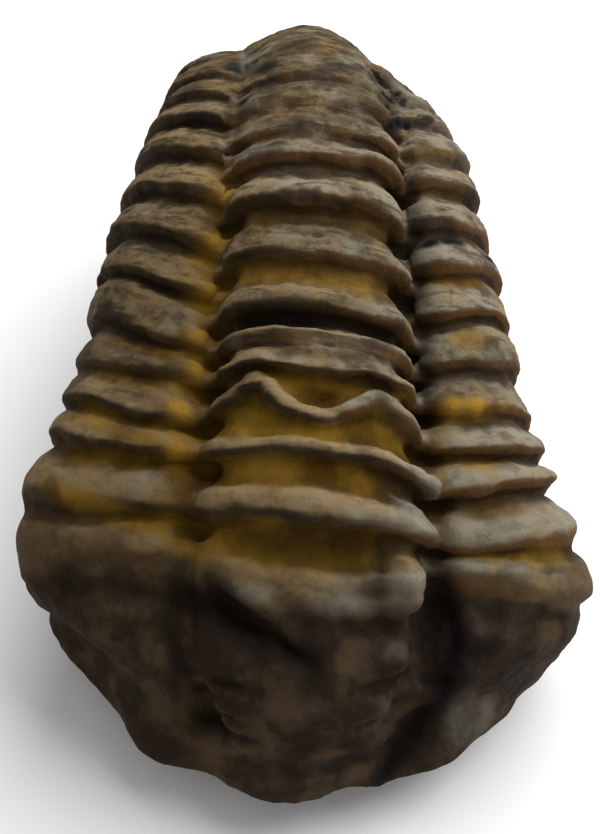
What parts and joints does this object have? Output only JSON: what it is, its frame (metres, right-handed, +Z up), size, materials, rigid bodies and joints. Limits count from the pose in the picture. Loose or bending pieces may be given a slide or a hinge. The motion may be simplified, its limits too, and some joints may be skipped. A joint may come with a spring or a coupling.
{
  "type": "trilobite fossil",
  "caption": "Half rolled-up trilobite fossil in one piece of stone, with a ringed back, ribs on both sides and a flat spot to rest on.",
  "frame": {"origin": "centre of the outline seen from above, on the flat spot that the fossil rests on", "axes": "+Z up, +Y from the head towards the tail, +X to the right seen from the head"},
  "size_m": [0.0338, 0.0518, 0.0235],
  "materials": {
    "fossil_stone": "matte weathered limestone, grey-brown on the ridges and ochre in the furrows"
  },
  "bodies": {
    "root": {"trilobite_fossil": "fossil_stone"}
  },
  "joints": []
}
